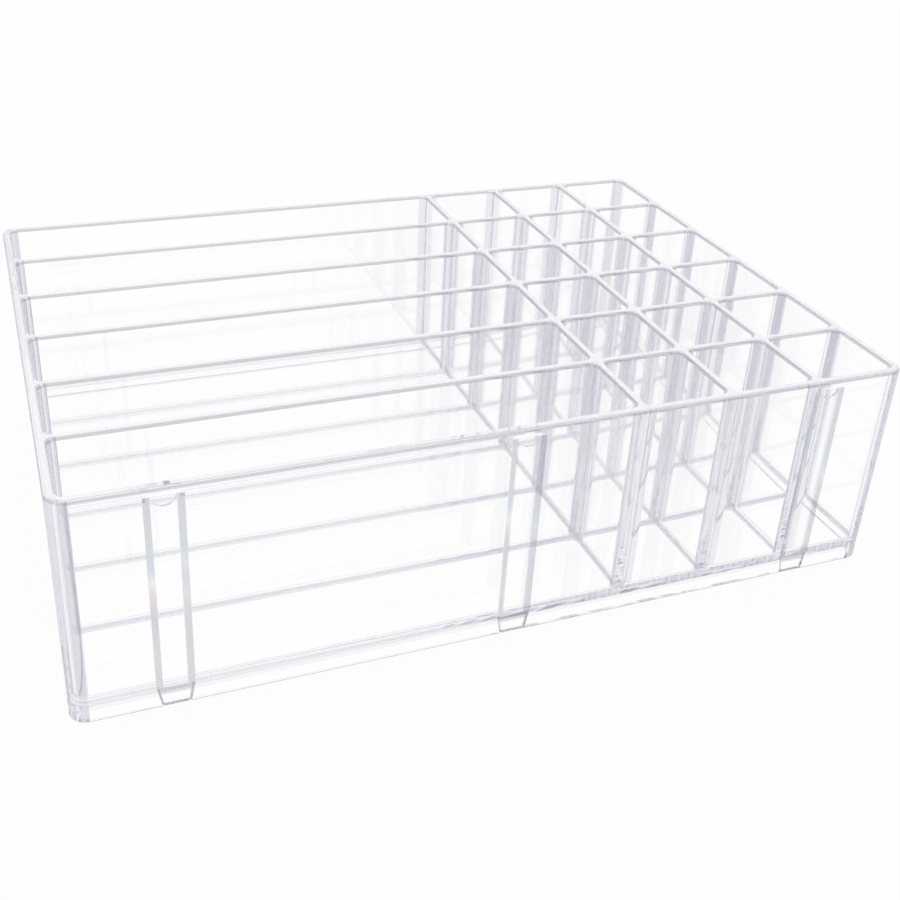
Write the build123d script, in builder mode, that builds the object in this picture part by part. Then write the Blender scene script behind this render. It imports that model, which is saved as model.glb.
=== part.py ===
"""Clear open-topped vanity tray: six long palette slots and eighteen square bottle compartments.

Millimetres, +Z up, the front faces -Y, and the origin is the middle of the face it stands on.
Each pane is a separate piece.  Panes meet face to face, as solvent-bonded clear sheet does.
"""

import os

from build123d import *

os.makedirs("parts", exist_ok=True)

# ---- overall size -----------------------------------------------------------------------
tray_width = 300.0
tray_depth = 216.0
tray_height = 83.0
corner_radius = 6.0          # upright outside corners, from the resting face to the rim

# ---- thicknesses ------------------------------------------------------------------------
wall = 3.5                   # skirt, outer walls and rim
divider = 3.0                # row and column dividers
floor_thickness = 3.0

# ---- heights ----------------------------------------------------------------------------
skirt_height = 7.8           # from the resting face to the top of the floor panel
rim_height = 3.0
crest_radius = 1.2           # rounded top edges of the rim and the dividers
rim_inner_radius = 1.0       # the rim's inside corners, seen from above

# ---- compartments -----------------------------------------------------------------------
rows = 6
bottle_columns = 3
bottle_clear = 32.0          # clear width of a bottle compartment, left to right
lap_clearance = 0.1          # each side of a divider where another crosses it

# ---- front strips and their feet --------------------------------------------------------
strip_width = 12.4           # at the front face
strip_back_width = 8.0       # at the bottom of the wall's groove
strip_depth = 2.0
strip_inset = 33.0           # middle of an outer strip, from the tray's side
strip_clearance = 0.05       # along each sloping side
notch_width = 7.4            # rounded thumb notch at the top of a strip
notch_side = 1.0             # straight part of the notch, under the rim
notch_drop = 2.8             # and its arc below that
notch_depth = 1.0
foot_top_width = 12.4
foot_bottom_width = 9.3
foot_depth = 1.5             # how deep a foot is let into the skirt's outer face
foot_clearance = 0.1         # each side of a foot in its notch

# ---- worked out from the sizes above ----------------------------------------------------
inner_x = tray_width / 2 - wall
inner_y = tray_depth / 2 - wall
rim_bottom = tray_height - rim_height
wall_height = rim_bottom - skirt_height
divider_height = tray_height - skirt_height
lap_height = divider_height / 2

row_clear = (2 * inner_y - (rows - 1) * divider) / rows
row_centres = [-inner_y + k * (row_clear + divider) - divider / 2 for k in range(1, rows)]
column_centres = [
    inner_x - k * (bottle_clear + divider) + divider / 2 for k in range(bottle_columns, 0, -1)
]
strip_centres = {
    "left": -tray_width / 2 + strip_inset,
    "centre": 0.0,
    "right": tray_width / 2 - strip_inset,
}

front_plane = Plane.XZ.offset(tray_depth / 2)      # its normal points out of the front
floor_plane = Plane.XY.offset(skirt_height)        # top of the floor, foot of the walls
rim_plane = Plane.XY.offset(rim_bottom)


def save(part, name):
    """Label one finished piece and write it to its own file."""
    part.label = name
    export_step(part, f"parts/{name}.step")


def wall_ring():
    """Sketch of the tray's outline, one wall thick, on the current workplane."""
    RectangleRounded(tray_width, tray_depth, corner_radius)
    Rectangle(2 * inner_x, 2 * inner_y, mode=Mode.SUBTRACT)


def strip_outline(front_width, back_width):
    """Corners of a strip's section in plan, from the front face to the bottom of the groove."""
    front, back = -tray_depth / 2, -tray_depth / 2 + strip_depth
    return [
        (-front_width / 2, front),
        (front_width / 2, front),
        (back_width / 2, back),
        (-back_width / 2, back),
    ]


def foot_outline(top_width, bottom_width):
    """Corners of a foot's tapered face, from the resting face up to the skirt's top."""
    return [
        (-bottom_width / 2, 0),
        (bottom_width / 2, 0),
        (top_width / 2, skirt_height),
        (-top_width / 2, skirt_height),
    ]


# ---- base skirt: an open ring that carries the floor's edge and is notched for the feet -----
with BuildPart() as base_skirt:
    with BuildSketch():
        wall_ring()
    extrude(amount=skirt_height)
    with BuildSketch(front_plane):
        with Locations(*[(x, 0) for x in strip_centres.values()]):
            Polygon(*foot_outline(foot_top_width, foot_bottom_width), align=None)
    extrude(amount=-foot_depth, mode=Mode.SUBTRACT)
save(base_skirt.part, "base_skirt")

# ---- floor panel, level with the top of the skirt -------------------------------------------
with BuildPart() as floor_panel:
    with BuildSketch(floor_plane):
        Rectangle(2 * inner_x, 2 * inner_y)
    extrude(amount=-floor_thickness)
save(floor_panel.part, "floor_panel")

# ---- front and back walls, across the whole width with their ends rounded -------------------
for name, sign in {"front_wall": 1, "back_wall": -1}.items():
    with BuildPart() as end_wall:
        with BuildSketch(floor_plane):
            wall_ring()
            with Locations((0, sign * wall)):
                Rectangle(tray_width, tray_depth, mode=Mode.SUBTRACT)
        extrude(amount=wall_height)
        if name == "front_wall":        # a sloping-sided groove behind each strip
            with BuildSketch(floor_plane):
                with Locations(*[(x, 0) for x in strip_centres.values()]):
                    Polygon(*strip_outline(strip_width, strip_back_width), align=None)
            extrude(amount=wall_height, mode=Mode.SUBTRACT)
    save(end_wall.part, name)

# ---- side walls, between the front and the back wall ----------------------------------------
for name, sign in {"left_wall": -1, "right_wall": 1}.items():
    with BuildPart() as side_wall:
        with BuildSketch(floor_plane):
            wall_ring()
            with Locations((sign * (tray_width - wall) / 2, 0)):
                Rectangle(wall, 2 * inner_y, mode=Mode.INTERSECT)
        extrude(amount=wall_height)
    save(side_wall.part, name)

# ---- top rim: one ring that caps the four walls, rounded along both top edges ---------------
with BuildPart() as top_rim:
    with BuildSketch(rim_plane):
        RectangleRounded(tray_width, tray_depth, corner_radius)
        RectangleRounded(2 * inner_x, 2 * inner_y, rim_inner_radius, mode=Mode.SUBTRACT)
    extrude(amount=rim_height)
    fillet(top_rim.faces().sort_by(Axis.Z)[-1].edges(), crest_radius)
save(top_rim.part, "top_rim")

# ---- row dividers, front to back, slotted from above where a column divider crosses ---------
for number, y in enumerate(row_centres, start=1):
    with BuildPart() as row_divider:
        with BuildSketch(floor_plane):
            with Locations((0, y)):
                Rectangle(2 * inner_x, divider)
        extrude(amount=divider_height)
        crest = row_divider.faces().sort_by(Axis.Z)[-1].edges().filter_by(Axis.X)
        fillet(crest, crest_radius)
        with BuildSketch(floor_plane.offset(lap_height)):
            with Locations(*[(x, y) for x in column_centres]):
                Rectangle(divider + 2 * lap_clearance, divider)
        extrude(amount=divider_height - lap_height, mode=Mode.SUBTRACT)
    save(row_divider.part, f"row_divider_{number}")

# ---- column dividers, left to right, slotted from below where a row divider crosses ---------
for number, x in enumerate(column_centres, start=1):
    with BuildPart() as column_divider:
        with BuildSketch(floor_plane):
            with Locations((x, 0)):
                Rectangle(divider, 2 * inner_y)
        extrude(amount=divider_height)
        crest = column_divider.faces().sort_by(Axis.Z)[-1].edges().filter_by(Axis.Y)
        fillet(crest, crest_radius)
        with BuildSketch(floor_plane):
            with Locations(*[(x, y) for y in row_centres]):
                Rectangle(divider, divider + 2 * lap_clearance)
        extrude(amount=lap_height, mode=Mode.SUBTRACT)
    save(column_divider.part, f"column_divider_{number}")

# ---- front strips: sloping-sided inlays, flush with the wall, thumb notch under the rim -----
for place, x in strip_centres.items():
    with BuildPart() as front_strip:
        with BuildSketch(floor_plane):
            with Locations((x, 0)):
                Polygon(
                    *strip_outline(
                        strip_width - 2 * strip_clearance,
                        strip_back_width - 2 * strip_clearance,
                    ),
                    align=None,
                )
        extrude(amount=wall_height)
        with BuildSketch(front_plane):
            with Locations((x, rim_bottom)):
                with BuildLine():
                    Polyline(
                        (-notch_width / 2, -notch_side),
                        (-notch_width / 2, 0),
                        (notch_width / 2, 0),
                        (notch_width / 2, -notch_side),
                    )
                    ThreePointArc(
                        (notch_width / 2, -notch_side),
                        (0, -notch_side - notch_drop),
                        (-notch_width / 2, -notch_side),
                    )
                make_face()
        extrude(amount=-notch_depth, mode=Mode.SUBTRACT)
    save(front_strip.part, f"front_strip_{place}")

# ---- tapered feet let into the skirt under the strips ---------------------------------------
for place, x in strip_centres.items():
    with BuildPart() as front_foot:
        with BuildSketch(front_plane):
            with Locations((x, 0)):
                Polygon(
                    *foot_outline(
                        foot_top_width - 2 * foot_clearance,
                        foot_bottom_width - 2 * foot_clearance,
                    ),
                    align=None,
                )
        extrude(amount=-foot_depth)
    save(front_foot.part, f"front_foot_{place}")
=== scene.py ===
import math

import bmesh
import bpy
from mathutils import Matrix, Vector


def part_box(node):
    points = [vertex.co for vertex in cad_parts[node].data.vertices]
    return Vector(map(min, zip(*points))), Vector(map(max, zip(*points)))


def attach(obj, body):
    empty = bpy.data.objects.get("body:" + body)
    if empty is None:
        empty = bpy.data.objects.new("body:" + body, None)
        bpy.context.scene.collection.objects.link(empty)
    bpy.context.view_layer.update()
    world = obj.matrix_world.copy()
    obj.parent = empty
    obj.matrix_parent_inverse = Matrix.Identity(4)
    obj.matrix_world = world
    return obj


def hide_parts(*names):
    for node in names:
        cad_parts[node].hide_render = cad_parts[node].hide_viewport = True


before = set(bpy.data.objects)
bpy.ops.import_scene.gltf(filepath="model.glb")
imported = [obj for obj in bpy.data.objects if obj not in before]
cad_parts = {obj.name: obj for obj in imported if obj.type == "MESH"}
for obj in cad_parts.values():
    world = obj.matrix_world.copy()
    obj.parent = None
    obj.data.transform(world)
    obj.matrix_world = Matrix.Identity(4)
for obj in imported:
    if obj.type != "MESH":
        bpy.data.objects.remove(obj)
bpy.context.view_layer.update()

scene = bpy.context.scene
MM = 0.001

# ---- the tray's sizes, read from the frame ----------------------------------------------
rim_low, rim_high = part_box("top_rim")
skirt_low, skirt_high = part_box("base_skirt")
floor_low, floor_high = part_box("floor_panel")
rows = [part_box(f"row_divider_{n}") for n in range(1, 6)]
columns = [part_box(f"column_divider_{n}") for n in range(1, 4)]
strips = {place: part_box(f"front_strip_{place}") for place in ("left", "centre", "right")}
feet = {place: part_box(f"front_foot_{place}") for place in strips}

WIDTH = rim_high.x - rim_low.x
DEPTH = rim_high.y - rim_low.y
HEIGHT = rim_high.z
RIM_BOTTOM = rim_low.z
SKIRT_TOP = skirt_high.z
FLOOR_UNDERSIDE = floor_low.z
INNER_X, INNER_Y = floor_high.x, floor_high.y
WALL = WIDTH / 2 - INNER_X
DIVIDER = columns[0][1].x - columns[0][0].x

# ---- sizes of the moulded detail --------------------------------------------------------
CORNER_RADIUS = 6.0 * MM
COVE_RADIUS = 3.0 * MM          # upright inside corners of every compartment
FLOOR_COVE = 1.6 * MM           # foot of every compartment
CREST_RADIUS = 1.2 * MM         # tops of the walls and dividers
STRIP_BACK = 8.0 / 12.4         # a strip's back face, as a share of its front face
FOOT_BOTTOM = 9.3 / 12.4        # a foot's lower edge, as a share of its upper edge
AIR_GAP = 0.04 * MM             # between the shell and what is let into it
FOOT_GAP = 0.01 * MM            # a foot is this much smaller all round than its CAD box
FOOT_EDGE = 0.7 * MM
BOTTOM_EDGE = 0.5 * MM          # lower outside edge of the skirt
NOTCH_RADIUS = 3.85 * MM        # rounded thumb notch at the top of a strip
NOTCH_DROP = 3.8 * MM
NOTCH_DEPTH = 1.0 * MM
FOOT_CUT_AHEAD = 1.0 * MM       # how far the cutter for a foot's notch stands out in front

# segments of each rounding
CORNER_SEGMENTS = 12
COVE_SEGMENTS = 6
FLOOR_COVE_SEGMENTS = 4
CREST_SEGMENTS = 4
FINE_SEGMENTS = 2
NOTCH_SIDES = 64

SAME_PLACE = 0.02 * MM          # two coordinates this near are one
MERGE_DISTANCE = 0.001 * MM
SLACK = 0.1 * MM                # allowance when edges are sorted by place
SMOOTH_ANGLE = 40.0             # degrees
NORMAL_WEIGHT = 100
LIP_STEP = 0.5                  # a lip's two faces differ this much in slope
FACING = 0.9                    # a face looks along an axis if its normal is above this

# ---- looks ------------------------------------------------------------------------------
STRIP_PITCH = 117.0 * MM
STRIP_CLEAR = 4.0 * MM          # half of a strip's clear middle
BAND_SLANT = 0.6                # how much the hues of the bands shift sideways
# painted shade and painted colour fringes for a strip's two bands
BAND_SHADE_AND_FRINGES = (                   # from the foot to the rim
    (0.05, (0.66, 0.665, 0.71, 1)),
    (0.22, (0.69, 0.705, 0.71, 1)),
    (0.40, (0.65, 0.645, 0.71, 1)),
    (0.50, (0.78, 0.70, 0.75, 1)),
    (0.56, (0.87, 0.86, 0.88, 1)),
    (0.62, (0.65, 0.72, 0.80, 1)),
    (0.72, (0.69, 0.69, 0.71, 1)),
    (1.00, (0.66, 0.66, 0.71, 1)),
)

WHITE = (1.0, 1.0, 1.0, 1)
# painted shade on oblique faces: edges and coves, rounded tops, and the feet
PAINTED_EDGE_SHADE = (0.72, 0.72, 0.775, 1)
PAINTED_CREST_SHADE = (0.42, 0.425, 0.47, 1)
PAINTED_FOOT_SHADE = (0.50, 0.50, 0.55, 1)
FLOOR_SHADE_SHARE = 0.55               # share of the painted edge shade on the floor's thickness
CORNER_SHADE_SHARE = 0.5               # and on the tray's own four corners
# painted shadow where the lowest straight edges meet the floor
PAINTED_CONTACT_SHADOW = (0.16, 0.16, 0.18, 1)
CONTACT_HEIGHT = 0.6 * MM
TRAPPED_LIGHT = (0.8, 0.8, 0.84, 1)
TRAPPED_DEPTH = 32.0            # bounces
OBLIQUE = 0.999                 # a face looks along no axis if its normal is below this
STEEP = 0.7                     # and does not look mostly up or down below this
STRAIGHT = 0.05                 # and runs along the front or a side below this

PLASTIC_IOR = 1.5
BODY_COLOR = (0.80, 0.81, 0.87, 1)
BODY_DENSITY = 4.0

CAMERA_SHARE = 0.95             # how much of the floor's white the camera sees as plain white
FLOOR_SIZE = 12.0
FLOOR_LEVEL = -0.2 * MM
SIDE_DARKENING = (              # from straight ahead to the two sides
    (0.62, WHITE),
    (0.80, (0.3, 0.3, 0.36, 1)),
)

CLEAR_BOUNCES = 40
DIFFUSE_BOUNCES = 4
TRANSPARENT_BOUNCES = 12

# ---- camera, found from the photograph's edges; its image is 900 pixels each way --------
PIXELS = 900
SENSOR_WIDTH = 36.0
FOCAL_PIXELS = 1199.1
PRINCIPAL_POINT = (437.9, 357.55)
CAMERA_PLACE = (-0.15396, -0.40337, 0.27884)
CAMERA_TURN = (62.552, -2.792, -20.693)     # degrees
CLIP_START = 10.0 * MM


# ---- modelling helpers ------------------------------------------------------------------
def make_active(obj):
    bpy.ops.object.select_all(action="DESELECT")
    bpy.context.view_layer.objects.active = obj
    obj.select_set(True)


def open_mesh(obj):
    make_active(obj)
    bpy.ops.object.mode_set(mode="EDIT")


def close_mesh():
    bpy.ops.object.mode_set(mode="OBJECT")


def pick(obj, kind, wanted):
    """Select only the faces or edges of the open mesh for which wanted(element) is true."""
    bpy.ops.mesh.select_mode(type=kind)
    bpy.ops.mesh.select_all(action="DESELECT")
    mesh = bmesh.from_edit_mesh(obj.data)
    elements = mesh.faces if kind == "FACE" else mesh.edges
    for element in elements:
        if wanted(element):
            element.select_set(True)
    bmesh.update_edit_mesh(obj.data)


def cut(obj, wanted, axis, place):
    """Bisect the wanted faces at one place along an axis."""
    pick(obj, "FACE", wanted)
    point, normal = [0, 0, 0], [0, 0, 0]
    point[axis] = place
    normal[axis] = 1
    bpy.ops.mesh.bisect(plane_co=point, plane_no=normal)


def bevel(obj, wanted, width, segments):
    pick(obj, "EDGE", wanted)
    bpy.ops.mesh.bevel(
        offset_type="OFFSET", offset=width, segments=segments, profile=0.5,
        affect="EDGES", clamp_overlap=False,
    )


def extrude(x, y, z):
    """Extrude the picked faces and move them."""
    bpy.ops.mesh.extrude_region_move(TRANSFORM_OT_translate={"value": (x, y, z)})


def narrow(share, x):
    """Narrow what is picked towards an upright line at x."""
    bpy.ops.transform.resize(value=(share, 1, 1), center_override=(x, 0, 0))


def apply_transform():
    bpy.ops.object.transform_apply(location=True, rotation=True, scale=True)


def add_block(name, low, high):
    """A block between two corners, with its place in its mesh."""
    centre = [(a + b) / 2 for a, b in zip(low, high)]
    size = [b - a for a, b in zip(low, high)]
    bpy.ops.object.select_all(action="DESELECT")
    bpy.ops.mesh.primitive_cube_add(size=1, location=centre, scale=size)
    obj = bpy.context.object
    obj.name = name
    apply_transform()
    return obj


def tapered_block(name, box, grow, axis, share, ahead=0.0):
    """A CAD box narrowed in x towards its back (axis 1) or its lower edge (axis 2)."""
    low, high = box
    block = add_block(
        name,
        (low.x - grow, low.y, low.z - grow),
        (high.x + grow, high.y + grow, high.z + grow),
    )
    open_mesh(block)
    end = high.y + grow if axis == 1 else low.z - grow
    pick(block, "FACE", lambda face: near(face.calc_center_median()[axis], end))
    narrow(share, mean(box, 0))
    if ahead:
        pick(block, "FACE", looks_front)
        extrude(0, -ahead, 0)
    close_mesh()
    return block


def subtract(obj, cutter):
    """Cut one mesh out of another and drop the cutter."""
    make_active(obj)
    modifier = obj.modifiers.new("cut", "BOOLEAN")
    modifier.operation = "DIFFERENCE"
    modifier.solver = "EXACT"
    modifier.object = cutter
    bpy.ops.object.modifier_apply(modifier=modifier.name)
    bpy.data.objects.remove(cutter)


def merge_and_smooth(obj):
    open_mesh(obj)
    bpy.ops.mesh.select_all(action="SELECT")
    bpy.ops.mesh.remove_doubles(threshold=MERGE_DISTANCE)
    close_mesh()
    make_active(obj)
    bpy.ops.object.shade_smooth_by_angle(angle=math.radians(SMOOTH_ANGLE))
    modifier = obj.modifiers.new("normals", "WEIGHTED_NORMAL")
    modifier.keep_sharp = True
    modifier.weight = NORMAL_WEIGHT
    bpy.ops.object.modifier_apply(modifier=modifier.name)


# ---- which faces and edges --------------------------------------------------------------
def mean(pair, axis):
    """Middle of a CAD box along one axis."""
    return (pair[0][axis] + pair[1][axis]) / 2


def near(a, b):
    return abs(a - b) < SAME_PLACE


def middle(edge):
    return (edge.verts[0].co + edge.verts[1].co) / 2


def upright(edge):
    a, b = edge.verts[0].co, edge.verts[1].co
    return near(a.x, b.x) and near(a.y, b.y) and not near(a.z, b.z)


def level_at(edge, z):
    return near(edge.verts[0].co.z, z) and near(edge.verts[1].co.z, z)


def looks_front(face):
    return face.normal.y < -FACING


def on_underside(face):
    return face.normal.z < -FACING and near(face.calc_center_median().z, 0)


def on_top(face):
    return face.normal.z > FACING and near(face.calc_center_median().z, HEIGHT)


def cell_top(face):
    """A face of the top's grid that becomes a compartment."""
    centre = face.calc_center_median()
    return on_top(face) and abs(centre.x) < INNER_X and abs(centre.y) < INNER_Y


def inside(point):
    """True within the walls' inner faces, seen from above."""
    return abs(point.x) < INNER_X + SLACK and abs(point.y) < INNER_Y + SLACK


def cell_corner(edge):
    above_recess = middle(edge).z > FLOOR_UNDERSIDE + SLACK
    return upright(edge) and inside(middle(edge)) and above_recess


def cell_foot(edge):
    return level_at(edge, SKIRT_TOP) and inside(middle(edge))


def is_lip(edge):
    """An edge between the top and a compartment's or the tray's side."""
    slopes = [face.normal.z for face in edge.link_faces]
    return level_at(edge, HEIGHT) and len(slopes) == 2 and abs(slopes[0] - slopes[1]) > LIP_STEP


def outer_foot(edge):
    """An edge of the skirt's foot, on the outside."""
    centre = middle(edge)
    outer = abs(centre.x) > INNER_X + 2 * SLACK or abs(centre.y) > INNER_Y + 2 * SLACK
    slopes = {round(face.normal.z, 2) for face in edge.link_faces}
    return level_at(edge, 0) and outer and len(slopes) == 2


# ---- the clear shell: one moulding of skirt, floor, walls, rim and dividers ---------------
def groove_front(shell):
    """Grooves with sloping sides down the front, for the strips."""
    for z in (SKIRT_TOP - AIR_GAP, RIM_BOTTOM + AIR_GAP):
        cut(shell, looks_front, 2, z)
    for low, high in strips.values():
        for x in (low.x - AIR_GAP, high.x + AIR_GAP):
            cut(shell, looks_front, 0, x)
    for low, high in strips.values():
        x = (low.x + high.x) / 2

        def is_groove(face):
            centre = face.calc_center_median()
            return looks_front(face) and near(centre.x, x) and low.z < centre.z < high.z

        pick(shell, "FACE", is_groove)
        extrude(0, high.y - low.y + AIR_GAP, 0)
        narrow(STRIP_BACK, x)


def recess_underside(shell):
    pick(shell, "FACE", on_underside)
    bpy.ops.mesh.inset(thickness=WALL, depth=0, use_even_offset=True)
    extrude(0, 0, FLOOR_UNDERSIDE)


def press_compartments(shell):
    """Lay the grid of twenty-four compartments on the top face, inset it and press it down."""
    half = DIVIDER / 2
    for x in [-INNER_X - half, INNER_X + half] + [mean(c, 0) for c in columns]:
        cut(shell, on_top, 0, x)
    for y in [-INNER_Y - half, INNER_Y + half] + [mean(r, 1) for r in rows]:
        cut(shell, on_top, 1, y)
    pick(shell, "FACE", cell_top)
    bpy.ops.mesh.inset(thickness=half, depth=0, use_individual=True, use_even_offset=True)
    extrude(0, 0, SKIRT_TOP - HEIGHT)


def notch_for_feet(shell):
    for place in feet:
        notch = tapered_block(
            f"notch_{place}", feet[place], AIR_GAP, 2, FOOT_BOTTOM, ahead=FOOT_CUT_AHEAD
        )
        subtract(shell, notch)


def make_shell():
    shell = add_block(
        "clear_shell", (-WIDTH / 2, -DEPTH / 2, 0), (WIDTH / 2, DEPTH / 2, HEIGHT)
    )
    open_mesh(shell)
    bevel(shell, upright, CORNER_RADIUS, CORNER_SEGMENTS)
    groove_front(shell)
    recess_underside(shell)
    press_compartments(shell)
    bevel(shell, cell_corner, COVE_RADIUS, COVE_SEGMENTS)
    bevel(shell, cell_foot, FLOOR_COVE, FLOOR_COVE_SEGMENTS)
    bevel(shell, is_lip, CREST_RADIUS, CREST_SEGMENTS)
    bevel(shell, outer_foot, BOTTOM_EDGE, FINE_SEGMENTS)
    close_mesh()
    notch_for_feet(shell)
    merge_and_smooth(shell)
    return shell


# ---- strips and feet --------------------------------------------------------------------
def make_strip(place):
    low, high = strips[place]
    strip = tapered_block(f"clear_strip_{place}", strips[place], 0.0, 1, STRIP_BACK)
    bpy.ops.object.select_all(action="DESELECT")
    bpy.ops.mesh.primitive_cylinder_add(
        vertices=NOTCH_SIDES, radius=NOTCH_RADIUS, depth=2 * NOTCH_DEPTH,
        location=((low.x + high.x) / 2, low.y, high.z - NOTCH_DROP + NOTCH_RADIUS),
        rotation=(math.pi / 2, 0, 0),
    )
    thumb = bpy.context.object
    apply_transform()
    subtract(strip, thumb)
    merge_and_smooth(strip)
    return strip


def make_foot(place):
    """A foot; its upper edges stay sharp, against the strip above it."""
    foot = tapered_block(f"clear_foot_{place}", feet[place], -FOOT_GAP, 2, FOOT_BOTTOM)
    top = feet[place][1].z
    open_mesh(foot)
    bevel(foot, lambda edge: middle(edge).z < top - FOOT_EDGE, FOOT_EDGE, FINE_SEGMENTS)
    close_mesh()
    merge_and_smooth(foot)
    return foot


# ---- node helpers -----------------------------------------------------------------------
def connect(tree, value, socket):
    """Feed a socket from another node's output, or set it to a plain value."""
    if isinstance(value, bpy.types.NodeSocket):
        tree.links.new(value, socket)
    else:
        socket.default_value = value


def add_math(tree, operation, *values):
    node = tree.nodes.new("ShaderNodeMath")
    node.operation = operation
    for value, socket in zip(values, node.inputs):
        connect(tree, value, socket)
    return node.outputs[0]


def add_mix(tree, factor, first, second):
    """A mix of two colours."""
    node = tree.nodes.new("ShaderNodeMix")
    node.data_type = "RGBA"
    connect(tree, factor, node.inputs["Factor"])
    connect(tree, first, node.inputs["A"])
    connect(tree, second, node.inputs["B"])
    return node.outputs["Result"]


def add_ramp(tree, factor, stops):
    """A colour ramp; stops are pairs of position and colour, from low to high."""
    node = tree.nodes.new("ShaderNodeValToRGB")
    for stop in range(len(stops) - 2):
        node.color_ramp.elements.new(0.5)
    for element, (position, color) in zip(node.color_ramp.elements, stops):
        element.position = position
        element.color = color
    connect(tree, factor, node.inputs[0])
    return node.outputs["Color"]


def add_glow(tree, color):
    node = tree.nodes.new("ShaderNodeEmission")
    node.inputs["Color"].default_value = color
    return node.outputs[0]


def add_shader_mix(tree, factor, first, second):
    node = tree.nodes.new("ShaderNodeMixShader")
    for value, socket in zip((factor, first, second), node.inputs):
        connect(tree, value, socket)
    return node.outputs[0]


def light_path(tree):
    return tree.nodes.new("ShaderNodeLightPath").outputs


def split(tree, vector):
    """The X, Y and Z of a vector."""
    node = tree.nodes.new("ShaderNodeSeparateXYZ")
    connect(tree, vector, node.inputs[0])
    return node.outputs


def face_direction(tree):
    """How far a face looks along each axis, either way."""
    geometry = tree.nodes.new("ShaderNodeNewGeometry")
    node = tree.nodes.new("ShaderNodeVectorMath")
    node.operation = "ABSOLUTE"
    connect(tree, geometry.outputs["True Normal"], node.inputs[0])
    return split(tree, node.outputs[0])


# ---- clear plastic ----------------------------------------------------------------------
def add_painted_bands(tree, facing, spot):
    """A strip's front: clear in the middle, two bands of painted shade with faint changing
    painted colour fringes beside it.
    """
    across = add_math(tree, "WRAP", spot["X"], -STRIP_PITCH / 2, STRIP_PITCH / 2)
    apart = add_math(tree, "ABSOLUTE", across)
    outside = add_math(tree, "GREATER_THAN", apart, STRIP_CLEAR)
    front = add_math(tree, "GREATER_THAN", facing["Y"], FACING)
    shift = add_math(tree, "MULTIPLY", across, BAND_SLANT)
    along = add_math(tree, "ADD", spot["Z"], shift)
    along = add_math(tree, "DIVIDE", along, HEIGHT)
    return add_math(tree, "MULTIPLY", outside, front), add_ramp(tree, along, BAND_SHADE_AND_FRINGES)


def add_painted_edge_shade(tree, facing, spot, oblique, edge_shade_color):
    """Painted shade on coves, corners and rounded tops, and on the floor's thickness."""
    steep = add_math(tree, "LESS_THAN", facing["Z"], STEEP)
    edge = add_math(tree, "MULTIPLY", oblique, steep)

    # painted shade where one looks into the floor's thickness from outside
    above = add_math(tree, "GREATER_THAN", spot["Z"], FLOOR_UNDERSIDE)
    below = add_math(tree, "LESS_THAN", spot["Z"], SKIRT_TOP)
    level = add_math(tree, "MULTIPLY", above, below)
    level = add_math(tree, "MULTIPLY", level, steep)
    level = add_math(tree, "MULTIPLY", level, FLOOR_SHADE_SHARE)

    # the painted shade is paler on the tray's own four corners than on the coves
    side = add_math(tree, "ABSOLUTE", spot["X"])
    side = add_math(tree, "GREATER_THAN", side, INNER_X)
    end = add_math(tree, "ABSOLUTE", spot["Y"])
    end = add_math(tree, "GREATER_THAN", end, INNER_Y)
    corner = add_math(tree, "MULTIPLY", side, end)
    corner = add_math(tree, "MULTIPLY", corner, 1.0 - CORNER_SHADE_SHARE)
    corner = add_math(tree, "SUBTRACT", 1.0, corner)
    edge = add_math(tree, "MULTIPLY", edge, corner)
    edge = add_math(tree, "MAXIMUM", edge, level)

    # the rounded tops get the darkest painted shade, as the strongest lines
    crest = add_math(tree, "GREATER_THAN", spot["Z"], HEIGHT - CREST_RADIUS)
    return edge, add_mix(tree, crest, edge_shade_color, PAINTED_CREST_SHADE)


def add_contact(tree, facing, spot, oblique, color):
    """The lowest straight edges meet their own shadow."""
    low = add_math(tree, "LESS_THAN", spot["Z"], CONTACT_HEIGHT)
    narrowest = add_math(tree, "MINIMUM", facing["X"], facing["Y"])
    straight = add_math(tree, "LESS_THAN", narrowest, STRAIGHT)
    low = add_math(tree, "MULTIPLY", low, straight)
    low = add_math(tree, "MULTIPLY", low, oblique)
    return add_mix(tree, low, color, PAINTED_CONTACT_SHADOW)


def add_trapped_light(tree, shader):
    """Light that is still trapped after many bounces leaves as a pale glow."""
    deep = add_math(tree, "GREATER_THAN", light_path(tree)["Ray Depth"], TRAPPED_DEPTH)
    return add_shader_mix(tree, deep, shader.outputs[0], add_glow(tree, TRAPPED_LIGHT))


def make_clear_plastic(name, edge_shade_color=None):
    """Clear plastic with painted shade on its edges, or without it, with the strips' two bands
    of painted shade and colour fringes.
    """
    material = bpy.data.materials.new(name)
    material.use_nodes = True
    tree = material.node_tree
    shader = tree.nodes["Principled BSDF"]
    shader.inputs["Transmission Weight"].default_value = 1.0
    shader.inputs["IOR"].default_value = PLASTIC_IOR
    shader.inputs["Roughness"].default_value = 0.0

    facing = face_direction(tree)
    spot = split(tree, tree.nodes.new("ShaderNodeTexCoord").outputs["Object"])
    widest = add_math(tree, "MAXIMUM", facing["X"], facing["Y"])
    widest = add_math(tree, "MAXIMUM", widest, facing["Z"])
    oblique = add_math(tree, "LESS_THAN", widest, OBLIQUE)
    if edge_shade_color:
        edge, painted_shading = add_painted_edge_shade(tree, facing, spot, oblique, edge_shade_color)
    else:
        edge, painted_shading = add_painted_bands(tree, facing, spot)
    color = add_mix(tree, edge, WHITE, painted_shading)
    color = add_contact(tree, facing, spot, oblique, color)
    connect(tree, color, shader.inputs["Base Color"])

    absorb = tree.nodes.new("ShaderNodeVolumeAbsorption")
    absorb.inputs["Color"].default_value = BODY_COLOR
    absorb.inputs["Density"].default_value = BODY_DENSITY
    out = tree.nodes["Material Output"]
    connect(tree, add_trapped_light(tree, shader), out.inputs["Surface"])
    connect(tree, absorb.outputs["Volume"], out.inputs["Volume"])
    return material


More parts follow.
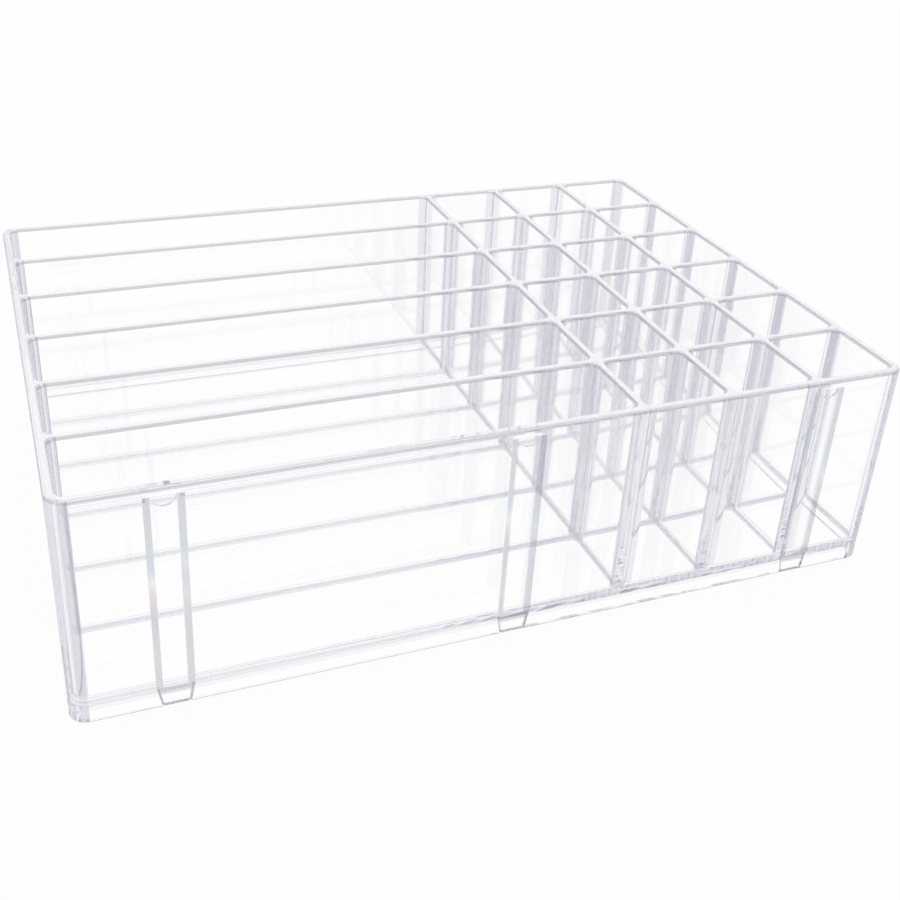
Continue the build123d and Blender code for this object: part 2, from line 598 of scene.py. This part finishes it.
# ---- studio -----------------------------------------------------------------------------
def make_white_floor():
    """White to the camera and through the plastic, and paint that takes the tray's shadow."""
    material = bpy.data.materials.new("white_floor")
    material.use_nodes = True
    tree = material.node_tree
    tree.nodes.clear()
    out = tree.nodes.new("ShaderNodeOutputMaterial")
    paint = tree.nodes.new("ShaderNodeBsdfDiffuse")
    paint.inputs["Color"].default_value = WHITE
    path = light_path(tree)
    through = add_math(tree, "MAXIMUM", path["Is Transmission Ray"], path["Is Glossy Ray"])
    share = add_math(tree, "MULTIPLY", path["Is Camera Ray"], CAMERA_SHARE)
    seen = add_math(tree, "MAXIMUM", share, through)
    mix = add_shader_mix(tree, seen, paint.outputs[0], add_glow(tree, WHITE))
    connect(tree, mix, out.inputs["Surface"])
    return material


def make_floor():
    bpy.ops.object.select_all(action="DESELECT")
    bpy.ops.mesh.primitive_plane_add(size=FLOOR_SIZE, location=(0, 0, FLOOR_LEVEL))
    floor = bpy.context.object
    floor.name = "studio_floor"
    floor.data.materials.append(make_white_floor())


def make_world():
    """White to look at, with darker ground at both sides that the edges pick up."""
    world = bpy.data.worlds.new("studio")
    scene.world = world
    world.use_nodes = True
    tree = world.node_tree
    tree.nodes.clear()
    out = tree.nodes.new("ShaderNodeOutputWorld")
    back = tree.nodes.new("ShaderNodeBackground")
    direction = split(tree, tree.nodes.new("ShaderNodeTexCoord").outputs["Generated"])
    side = add_math(tree, "ABSOLUTE", direction["X"])
    ground = add_ramp(tree, side, SIDE_DARKENING)
    seen = add_mix(tree, light_path(tree)["Is Camera Ray"], ground, WHITE)
    connect(tree, seen, back.inputs["Color"])
    back.inputs["Strength"].default_value = 1.0
    connect(tree, back.outputs[0], out.inputs["Surface"])


def make_camera():
    data = bpy.data.cameras.new("photo_camera")
    data.sensor_width = SENSOR_WIDTH
    data.lens = FOCAL_PIXELS / PIXELS * data.sensor_width
    data.shift_x = (PIXELS / 2 - PRINCIPAL_POINT[0]) / PIXELS
    data.shift_y = (PRINCIPAL_POINT[1] - PIXELS / 2) / PIXELS
    data.clip_start = CLIP_START
    camera = bpy.data.objects.new("photo_camera", data)
    scene.collection.objects.link(camera)
    camera.location = CAMERA_PLACE
    camera.rotation_euler = [math.radians(angle) for angle in CAMERA_TURN]
    scene.camera = camera


make_camera()
make_world()
make_floor()

clear_plastic = make_clear_plastic("clear_plastic", PAINTED_EDGE_SHADE)
clear_strip = make_clear_plastic("clear_strip")
clear_foot = make_clear_plastic("clear_foot", PAINTED_FOOT_SHADE)
shell = make_shell()
shell.data.materials.clear()
shell.data.materials.append(clear_plastic)
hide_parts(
    "base_skirt", "floor_panel", "front_wall", "back_wall", "left_wall", "right_wall", "top_rim",
    *[f"row_divider_{n}" for n in range(1, 6)],
    *[f"column_divider_{n}" for n in range(1, 4)],
)
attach(shell, "root")

for place in strips:
    for piece, node, material in (
        (make_strip(place), f"front_strip_{place}", clear_strip),
        (make_foot(place), f"front_foot_{place}", clear_foot),
    ):
        piece.data.materials.clear()
        piece.data.materials.append(material)
        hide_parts(node)
        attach(piece, "root")

scene.view_settings.view_transform = "Standard"
scene.cycles.max_bounces = CLEAR_BOUNCES
scene.cycles.transmission_bounces = CLEAR_BOUNCES
scene.cycles.glossy_bounces = CLEAR_BOUNCES
scene.cycles.diffuse_bounces = DIFFUSE_BOUNCES
scene.cycles.transparent_max_bounces = TRANSPARENT_BOUNCES
